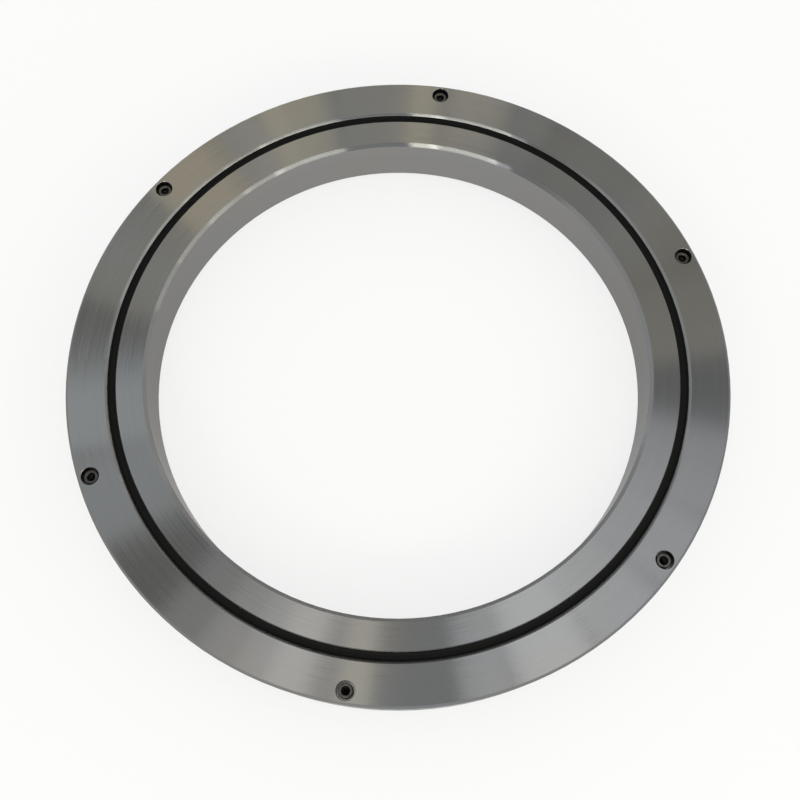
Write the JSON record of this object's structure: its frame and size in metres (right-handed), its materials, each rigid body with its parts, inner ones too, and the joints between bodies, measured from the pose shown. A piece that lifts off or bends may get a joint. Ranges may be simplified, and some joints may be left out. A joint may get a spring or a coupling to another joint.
{
  "type": "crossed roller bearing",
  "caption": "Thin steel crossed roller bearing: an inner ring turns on crossed rollers in a split outer ring clamped by socket-head screws, with black lip seals.",
  "frame": {"origin": "centre of the bearing on the plane of its lower faces", "axes": "+Z is the bearing's axis, from the lower face to the face with the screw heads; +X and +Y lie in the lower plane"},
  "size_m": [0.3949, 0.395, 0.035],
  "materials": {
    "ring_steel": "bearing steel, ground in circles, bare",
    "black_oxide_steel": "black oxide steel, satin",
    "seal_rubber": "black nitrile rubber, satin",
    "spacer_plastic": "ivory moulded nylon",
    "roller_steel": "hardened steel, fine ground"
  },
  "bodies": {
    "outer_ring": {"outer_ring_upper": "ring_steel", "outer_ring_lower": "ring_steel", "clamp_screws": "black_oxide_steel", "upper_seal": "seal_rubber", "lower_seal": "seal_rubber"},
    "inner_ring": {"inner_ring": "ring_steel"},
    "roller_set": {"spacers": "spacer_plastic"},
    "roller_01": {"roller_01": "roller_steel"},
    "roller_02": {"roller_02": "roller_steel"},
    "roller_03": {"roller_03": "roller_steel"},
    "roller_04": {"roller_04": "roller_steel"},
    "roller_05": {"roller_05": "roller_steel"},
    "roller_06": {"roller_06": "roller_steel"},
    "roller_07": {"roller_07": "roller_steel"},
    "roller_08": {"roller_08": "roller_steel"},
    "roller_09": {"roller_09": "roller_steel"},
    "roller_10": {"roller_10": "roller_steel"},
    "roller_11": {"roller_11": "roller_steel"},
    "roller_12": {"roller_12": "roller_steel"},
    "roller_13": {"roller_13": "roller_steel"},
    "roller_14": {"roller_14": "roller_steel"},
    "roller_15": {"roller_15": "roller_steel"},
    "roller_16": {"roller_16": "roller_steel"},
    "roller_17": {"roller_17": "roller_steel"},
    "roller_18": {"roller_18": "roller_steel"},
    "roller_19": {"roller_19": "roller_steel"},
    "roller_20": {"roller_20": "roller_steel"},
    "roller_21": {"roller_21": "roller_steel"},
    "roller_22": {"roller_22": "roller_steel"},
    "roller_23": {"roller_23": "roller_steel"},
    "roller_24": {"roller_24": "roller_steel"},
    "roller_25": {"roller_25": "roller_steel"},
    "roller_26": {"roller_26": "roller_steel"},
    "roller_27": {"roller_27": "roller_steel"},
    "roller_28": {"roller_28": "roller_steel"},
    "roller_29": {"roller_29": "roller_steel"},
    "roller_30": {"roller_30": "roller_steel"},
    "roller_31": {"roller_31": "roller_steel"},
    "roller_32": {"roller_32": "roller_steel"},
    "roller_33": {"roller_33": "roller_steel"},
    "roller_34": {"roller_34": "roller_steel"},
    "roller_35": {"roller_35": "roller_steel"},
    "roller_36": {"roller_36": "roller_steel"},
    "roller_37": {"roller_37": "roller_steel"},
    "roller_38": {"roller_38": "roller_steel"},
    "roller_39": {"roller_39": "roller_steel"},
    "roller_40": {"roller_40": "roller_steel"},
    "roller_41": {"roller_41": "roller_steel"},
    "roller_42": {"roller_42": "roller_steel"},
    "roller_43": {"roller_43": "roller_steel"},
    "roller_44": {"roller_44": "roller_steel"},
    "roller_45": {"roller_45": "roller_steel"},
    "roller_46": {"roller_46": "roller_steel"},
    "roller_47": {"roller_47": "roller_steel"},
    "roller_48": {"roller_48": "roller_steel"},
    "roller_49": {"roller_49": "roller_steel"},
    "roller_50": {"roller_50": "roller_steel"},
    "roller_51": {"roller_51": "roller_steel"},
    "roller_52": {"roller_52": "roller_steel"}
  },
  "joints": [
    {"name": "inner_ring_spin", "type": "hinge", "parent": "outer_ring", "child": "inner_ring", "pos_m": [0, 0, 0.0175], "axis": [0, 0, 1], "continuous": true},
    {"name": "roller_set_spin", "type": "hinge", "parent": "outer_ring", "child": "roller_set", "pos_m": [0, 0, 0.0175], "axis": [0, 0, 1], "continuous": true},
    {"name": "roller_01_spin", "type": "hinge", "parent": "roller_set", "child": "roller_01", "pos_m": [0.1705, 0, 0.0175], "axis": [0.7071, 0, 0.7071], "continuous": true},
    {"name": "roller_02_spin", "type": "hinge", "parent": "roller_set", "child": "roller_02", "pos_m": [0.16926, 0.02055, 0.0175], "axis": [-0.702, -0.0852, 0.7071], "continuous": true},
    {"name": "roller_03_spin", "type": "hinge", "parent": "roller_set", "child": "roller_03", "pos_m": [0.16555, 0.0408, 0.0175], "axis": [0.6866, 0.1692, 0.7071], "continuous": true},
    {"name": "roller_04_spin", "type": "hinge", "parent": "roller_set", "child": "roller_04", "pos_m": [0.15942, 0.06046, 0.0175], "axis": [-0.6612, -0.2507, 0.7071], "continuous": true},
    {"name": "roller_05_spin", "type": "hinge", "parent": "roller_set", "child": "roller_05", "pos_m": [0.15097, 0.07924, 0.0175], "axis": [0.6261, 0.3286, 0.7071], "continuous": true},
    {"name": "roller_06_spin", "type": "hinge", "parent": "roller_set", "child": "roller_06", "pos_m": [0.14032, 0.09686, 0.0175], "axis": [-0.5819, -0.4017, 0.7071], "continuous": true},
    {"name": "roller_07_spin", "type": "hinge", "parent": "roller_set", "child": "roller_07", "pos_m": [0.12762, 0.11306, 0.0175], "axis": [0.5293, 0.4689, 0.7071], "continuous": true},
    {"name": "roller_08_spin", "type": "hinge", "parent": "roller_set", "child": "roller_08", "pos_m": [0.11306, 0.12762, 0.0175], "axis": [-0.4689, -0.5293, 0.7071], "continuous": true},
    {"name": "roller_09_spin", "type": "hinge", "parent": "roller_set", "child": "roller_09", "pos_m": [0.09686, 0.14032, 0.0175], "axis": [0.4017, 0.5819, 0.7071], "continuous": true},
    {"name": "roller_10_spin", "type": "hinge", "parent": "roller_set", "child": "roller_10", "pos_m": [0.07924, 0.15097, 0.0175], "axis": [-0.3286, -0.6261, 0.7071], "continuous": true},
    {"name": "roller_11_spin", "type": "hinge", "parent": "roller_set", "child": "roller_11", "pos_m": [0.06046, 0.15942, 0.0175], "axis": [0.2507, 0.6612, 0.7071], "continuous": true},
    {"name": "roller_12_spin", "type": "hinge", "parent": "roller_set", "child": "roller_12", "pos_m": [0.0408, 0.16555, 0.0175], "axis": [-0.1692, -0.6866, 0.7071], "continuous": true},
    {"name": "roller_13_spin", "type": "hinge", "parent": "roller_set", "child": "roller_13", "pos_m": [0.02055, 0.16926, 0.0175], "axis": [0.0852, 0.702, 0.7071], "continuous": true},
    {"name": "roller_14_spin", "type": "hinge", "parent": "roller_set", "child": "roller_14", "pos_m": [0, 0.1705, 0.0175], "axis": [0, -0.7071, 0.7071], "continuous": true},
    {"name": "roller_15_spin", "type": "hinge", "parent": "roller_set", "child": "roller_15", "pos_m": [-0.02055, 0.16926, 0.0175], "axis": [-0.0852, 0.702, 0.7071], "continuous": true},
    {"name": "roller_16_spin", "type": "hinge", "parent": "roller_set", "child": "roller_16", "pos_m": [-0.0408, 0.16555, 0.0175], "axis": [0.1692, -0.6866, 0.7071], "continuous": true},
    {"name": "roller_17_spin", "type": "hinge", "parent": "roller_set", "child": "roller_17", "pos_m": [-0.06046, 0.15942, 0.0175], "axis": [-0.2507, 0.6612, 0.7071], "continuous": true},
    {"name": "roller_18_spin", "type": "hinge", "parent": "roller_set", "child": "roller_18", "pos_m": [-0.07924, 0.15097, 0.0175], "axis": [0.3286, -0.6261, 0.7071], "continuous": true},
    {"name": "roller_19_spin", "type": "hinge", "parent": "roller_set", "child": "roller_19", "pos_m": [-0.09686, 0.14032, 0.0175], "axis": [-0.4017, 0.5819, 0.7071], "continuous": true},
    {"name": "roller_20_spin", "type": "hinge", "parent": "roller_set", "child": "roller_20", "pos_m": [-0.11306, 0.12762, 0.0175], "axis": [0.4689, -0.5293, 0.7071], "continuous": true},
    {"name": "roller_21_spin", "type": "hinge", "parent": "roller_set", "child": "roller_21", "pos_m": [-0.12762, 0.11306, 0.0175], "axis": [-0.5293, 0.4689, 0.7071], "continuous": true},
    {"name": "roller_22_spin", "type": "hinge", "parent": "roller_set", "child": "roller_22", "pos_m": [-0.14032, 0.09686, 0.0175], "axis": [0.5819, -0.4017, 0.7071], "continuous": true},
    {"name": "roller_23_spin", "type": "hinge", "parent": "roller_set", "child": "roller_23", "pos_m": [-0.15097, 0.07924, 0.0175], "axis": [-0.6261, 0.3286, 0.7071], "continuous": true},
    {"name": "roller_24_spin", "type": "hinge", "parent": "roller_set", "child": "roller_24", "pos_m": [-0.15942, 0.06046, 0.0175], "axis": [0.6612, -0.2507, 0.7071], "continuous": true},
    {"name": "roller_25_spin", "type": "hinge", "parent": "roller_set", "child": "roller_25", "pos_m": [-0.16555, 0.0408, 0.0175], "axis": [-0.6866, 0.1692, 0.7071], "continuous": true},
    {"name": "roller_26_spin", "type": "hinge", "parent": "roller_set", "child": "roller_26", "pos_m": [-0.16926, 0.02055, 0.0175], "axis": [0.702, -0.0852, 0.7071], "continuous": true},
    {"name": "roller_27_spin", "type": "hinge", "parent": "roller_set", "child": "roller_27", "pos_m": [-0.1705, 0, 0.0175], "axis": [-0.7071, 0, 0.7071], "continuous": true},
    {"name": "roller_28_spin", "type": "hinge", "parent": "roller_set", "child": "roller_28", "pos_m": [-0.16926, -0.02055, 0.0175], "axis": [0.702, 0.0852, 0.7071], "continuous": true},
    {"name": "roller_29_spin", "type": "hinge", "parent": "roller_set", "child": "roller_29", "pos_m": [-0.16555, -0.0408, 0.0175], "axis": [-0.6866, -0.1692, 0.7071], "continuous": true},
    {"name": "roller_30_spin", "type": "hinge", "parent": "roller_set", "child": "roller_30", "pos_m": [-0.15942, -0.06046, 0.0175], "axis": [0.6612, 0.2507, 0.7071], "continuous": true},
    {"name": "roller_31_spin", "type": "hinge", "parent": "roller_set", "child": "roller_31", "pos_m": [-0.15097, -0.07924, 0.0175], "axis": [-0.6261, -0.3286, 0.7071], "continuous": true},
    {"name": "roller_32_spin", "type": "hinge", "parent": "roller_set", "child": "roller_32", "pos_m": [-0.14032, -0.09686, 0.0175], "axis": [0.5819, 0.4017, 0.7071], "continuous": true},
    {"name": "roller_33_spin", "type": "hinge", "parent": "roller_set", "child": "roller_33", "pos_m": [-0.12762, -0.11306, 0.0175], "axis": [-0.5293, -0.4689, 0.7071], "continuous": true},
    {"name": "roller_34_spin", "type": "hinge", "parent": "roller_set", "child": "roller_34", "pos_m": [-0.11306, -0.12762, 0.0175], "axis": [0.4689, 0.5293, 0.7071], "continuous": true},
    {"name": "roller_35_spin", "type": "hinge", "parent": "roller_set", "child": "roller_35", "pos_m": [-0.09686, -0.14032, 0.0175], "axis": [-0.4017, -0.5819, 0.7071], "continuous": true},
    {"name": "roller_36_spin", "type": "hinge", "parent": "roller_set", "child": "roller_36", "pos_m": [-0.07924, -0.15097, 0.0175], "axis": [0.3286, 0.6261, 0.7071], "continuous": true},
    {"name": "roller_37_spin", "type": "hinge", "parent": "roller_set", "child": "roller_37", "pos_m": [-0.06046, -0.15942, 0.0175], "axis": [-0.2507, -0.6612, 0.7071], "continuous": true},
    {"name": "roller_38_spin", "type": "hinge", "parent": "roller_set", "child": "roller_38", "pos_m": [-0.0408, -0.16555, 0.0175], "axis": [0.1692, 0.6866, 0.7071], "continuous": true},
    {"name": "roller_39_spin", "type": "hinge", "parent": "roller_set", "child": "roller_39", "pos_m": [-0.02055, -0.16926, 0.0175], "axis": [-0.0852, -0.702, 0.7071], "continuous": true},
    {"name": "roller_40_spin", "type": "hinge", "parent": "roller_set", "child": "roller_40", "pos_m": [0, -0.1705, 0.0175], "axis": [0, 0.7071, 0.7071], "continuous": true},
    {"name": "roller_41_spin", "type": "hinge", "parent": "roller_set", "child": "roller_41", "pos_m": [0.02055, -0.16926, 0.0175], "axis": [0.0852, -0.702, 0.7071], "continuous": true},
    {"name": "roller_42_spin", "type": "hinge", "parent": "roller_set", "child": "roller_42", "pos_m": [0.0408, -0.16555, 0.0175], "axis": [-0.1692, 0.6866, 0.7071], "continuous": true},
    {"name": "roller_43_spin", "type": "hinge", "parent": "roller_set", "child": "roller_43", "pos_m": [0.06046, -0.15942, 0.0175], "axis": [0.2507, -0.6612, 0.7071], "continuous": true},
    {"name": "roller_44_spin", "type": "hinge", "parent": "roller_set", "child": "roller_44", "pos_m": [0.07924, -0.15097, 0.0175], "axis": [-0.3286, 0.6261, 0.7071], "continuous": true},
    {"name": "roller_45_spin", "type": "hinge", "parent": "roller_set", "child": "roller_45", "pos_m": [0.09686, -0.14032, 0.0175], "axis": [0.4017, -0.5819, 0.7071], "continuous": true},
    {"name": "roller_46_spin", "type": "hinge", "parent": "roller_set", "child": "roller_46", "pos_m": [0.11306, -0.12762, 0.0175], "axis": [-0.4689, 0.5293, 0.7071], "continuous": true},
    {"name": "roller_47_spin", "type": "hinge", "parent": "roller_set", "child": "roller_47", "pos_m": [0.12762, -0.11306, 0.0175], "axis": [0.5293, -0.4689, 0.7071], "continuous": true},
    {"name": "roller_48_spin", "type": "hinge", "parent": "roller_set", "child": "roller_48", "pos_m": [0.14032, -0.09686, 0.0175], "axis": [-0.5819, 0.4017, 0.7071], "continuous": true},
    {"name": "roller_49_spin", "type": "hinge", "parent": "roller_set", "child": "roller_49", "pos_m": [0.15097, -0.07924, 0.0175], "axis": [0.6261, -0.3286, 0.7071], "continuous": true},
    {"name": "roller_50_spin", "type": "hinge", "parent": "roller_set", "child": "roller_50", "pos_m": [0.15942, -0.06046, 0.0175], "axis": [-0.6612, 0.2507, 0.7071], "continuous": true},
    {"name": "roller_51_spin", "type": "hinge", "parent": "roller_set", "child": "roller_51", "pos_m": [0.16555, -0.0408, 0.0175], "axis": [0.6866, -0.1692, 0.7071], "continuous": true},
    {"name": "roller_52_spin", "type": "hinge", "parent": "roller_set", "child": "roller_52", "pos_m": [0.16926, -0.02055, 0.0175], "axis": [-0.702, 0.0852, 0.7071], "continuous": true}
  ],
  "couplings": [
    {"joint": "roller_set_spin", "follows": "inner_ring_spin", "ratio": 0.48341},
    {"joint": "roller_01_spin", "follows": "inner_ring_spin", "ratio": -10.645},
    {"joint": "roller_02_spin", "follows": "inner_ring_spin", "ratio": -10.645},
    {"joint": "roller_03_spin", "follows": "inner_ring_spin", "ratio": -10.645},
    {"joint": "roller_04_spin", "follows": "inner_ring_spin", "ratio": -10.645},
    {"joint": "roller_05_spin", "follows": "inner_ring_spin", "ratio": -10.645},
    {"joint": "roller_06_spin", "follows": "inner_ring_spin", "ratio": -10.645},
    {"joint": "roller_07_spin", "follows": "inner_ring_spin", "ratio": -10.645},
    {"joint": "roller_08_spin", "follows": "inner_ring_spin", "ratio": -10.645},
    {"joint": "roller_09_spin", "follows": "inner_ring_spin", "ratio": -10.645},
    {"joint": "roller_10_spin", "follows": "inner_ring_spin", "ratio": -10.645},
    {"joint": "roller_11_spin", "follows": "inner_ring_spin", "ratio": -10.645},
    {"joint": "roller_12_spin", "follows": "inner_ring_spin", "ratio": -10.645},
    {"joint": "roller_13_spin", "follows": "inner_ring_spin", "ratio": -10.645},
    {"joint": "roller_14_spin", "follows": "inner_ring_spin", "ratio": -10.645},
    {"joint": "roller_15_spin", "follows": "inner_ring_spin", "ratio": -10.645},
    {"joint": "roller_16_spin", "follows": "inner_ring_spin", "ratio": -10.645},
    {"joint": "roller_17_spin", "follows": "inner_ring_spin", "ratio": -10.645},
    {"joint": "roller_18_spin", "follows": "inner_ring_spin", "ratio": -10.645},
    {"joint": "roller_19_spin", "follows": "inner_ring_spin", "ratio": -10.645},
    {"joint": "roller_20_spin", "follows": "inner_ring_spin", "ratio": -10.645},
    {"joint": "roller_21_spin", "follows": "inner_ring_spin", "ratio": -10.645},
    {"joint": "roller_22_spin", "follows": "inner_ring_spin", "ratio": -10.645},
    {"joint": "roller_23_spin", "follows": "inner_ring_spin", "ratio": -10.645},
    {"joint": "roller_24_spin", "follows": "inner_ring_spin", "ratio": -10.645},
    {"joint": "roller_25_spin", "follows": "inner_ring_spin", "ratio": -10.645},
    {"joint": "roller_26_spin", "follows": "inner_ring_spin", "ratio": -10.645},
    {"joint": "roller_27_spin", "follows": "inner_ring_spin", "ratio": -10.645},
    {"joint": "roller_28_spin", "follows": "inner_ring_spin", "ratio": -10.645},
    {"joint": "roller_29_spin", "follows": "inner_ring_spin", "ratio": -10.645},
    {"joint": "roller_30_spin", "follows": "inner_ring_spin", "ratio": -10.645},
    {"joint": "roller_31_spin", "follows": "inner_ring_spin", "ratio": -10.645},
    {"joint": "roller_32_spin", "follows": "inner_ring_spin", "ratio": -10.645},
    {"joint": "roller_33_spin", "follows": "inner_ring_spin", "ratio": -10.645},
    {"joint": "roller_34_spin", "follows": "inner_ring_spin", "ratio": -10.645},
    {"joint": "roller_35_spin", "follows": "inner_ring_spin", "ratio": -10.645},
    {"joint": "roller_36_spin", "follows": "inner_ring_spin", "ratio": -10.645},
    {"joint": "roller_37_spin", "follows": "inner_ring_spin", "ratio": -10.645},
    {"joint": "roller_38_spin", "follows": "inner_ring_spin", "ratio": -10.645},
    {"joint": "roller_39_spin", "follows": "inner_ring_spin", "ratio": -10.645},
    {"joint": "roller_40_spin", "follows": "inner_ring_spin", "ratio": -10.645},
    {"joint": "roller_41_spin", "follows": "inner_ring_spin", "ratio": -10.645},
    {"joint": "roller_42_spin", "follows": "inner_ring_spin", "ratio": -10.645},
    {"joint": "roller_43_spin", "follows": "inner_ring_spin", "ratio": -10.645},
    {"joint": "roller_44_spin", "follows": "inner_ring_spin", "ratio": -10.645},
    {"joint": "roller_45_spin", "follows": "inner_ring_spin", "ratio": -10.645},
    {"joint": "roller_46_spin", "follows": "inner_ring_spin", "ratio": -10.645},
    {"joint": "roller_47_spin", "follows": "inner_ring_spin", "ratio": -10.645},
    {"joint": "roller_48_spin", "follows": "inner_ring_spin", "ratio": -10.645},
    {"joint": "roller_49_spin", "follows": "inner_ring_spin", "ratio": -10.645},
    {"joint": "roller_50_spin", "follows": "inner_ring_spin", "ratio": -10.645},
    {"joint": "roller_51_spin", "follows": "inner_ring_spin", "ratio": -10.645},
    {"joint": "roller_52_spin", "follows": "inner_ring_spin", "ratio": -10.645}
  ]
}
